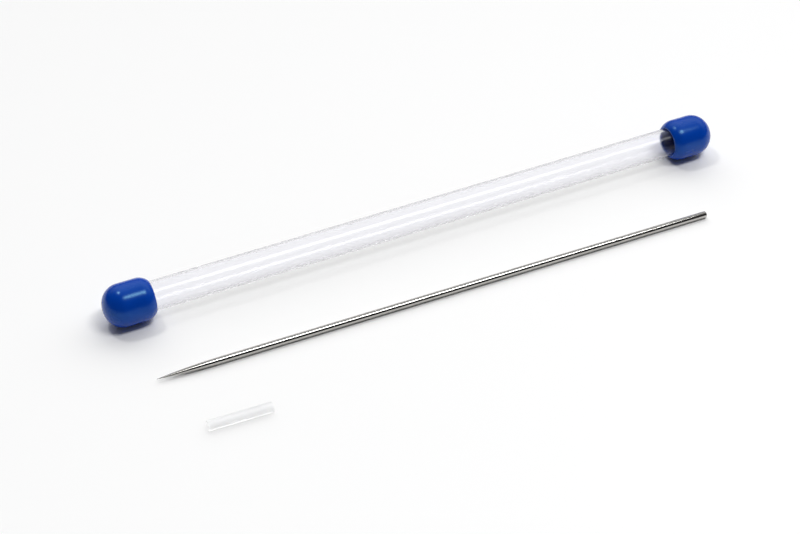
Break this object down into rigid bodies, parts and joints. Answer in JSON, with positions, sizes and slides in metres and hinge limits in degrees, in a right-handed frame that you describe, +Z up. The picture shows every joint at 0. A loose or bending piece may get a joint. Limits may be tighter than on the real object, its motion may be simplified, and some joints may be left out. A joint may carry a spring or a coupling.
{
  "type": "airbrush needle set",
  "caption": "Slender tapered steel needle laid out beside its clear storage tube with push-on vinyl caps and a short clear sleeve for the point.",
  "frame": {"origin": "middle of the whole set's footprint, on the surface that it lies on", "axes": "+X along the storage tube towards the right cap, +Y from the needle towards the tube, +Z up from the surface"},
  "size_m": [0.1358, 0.0406, 0.0086],
  "materials": {
    "clear_tube": "clear extruded plastic tube, glossy, faintly grey",
    "blue_vinyl": "royal blue soft vinyl, dip moulded, smooth and glossy",
    "steel": "ground and polished stainless steel",
    "clear_sleeve": "translucent clear soft plastic tubing"
  },
  "bodies": {
    "tube": {"storage_tube": "clear_tube"},
    "left_cap": {"left_cap": "blue_vinyl"},
    "right_cap": {"right_cap": "blue_vinyl"},
    "needle": {"needle": "steel"},
    "guard": {"tip_guard": "clear_sleeve"}
  },
  "joints": [
    {"name": "left_cap_pull", "type": "slide", "parent": "tube", "child": "left_cap", "axis": [-1, 0, 0], "range_m": [0, 0.025]},
    {"name": "right_cap_pull", "type": "slide", "parent": "tube", "child": "right_cap", "axis": [1, 0, 0], "range_m": [0, 0.025]},
    {"name": "needle_draw", "type": "slide", "parent": "tube", "child": "needle", "axis": [0.9998, -0.0175, 0], "range_m": [0, 0.135]},
    {"name": "guard_pull", "type": "slide", "parent": "tube", "child": "guard", "axis": [-0.9991, 0.0419, 0], "range_m": [0, 0.025]}
  ]
}
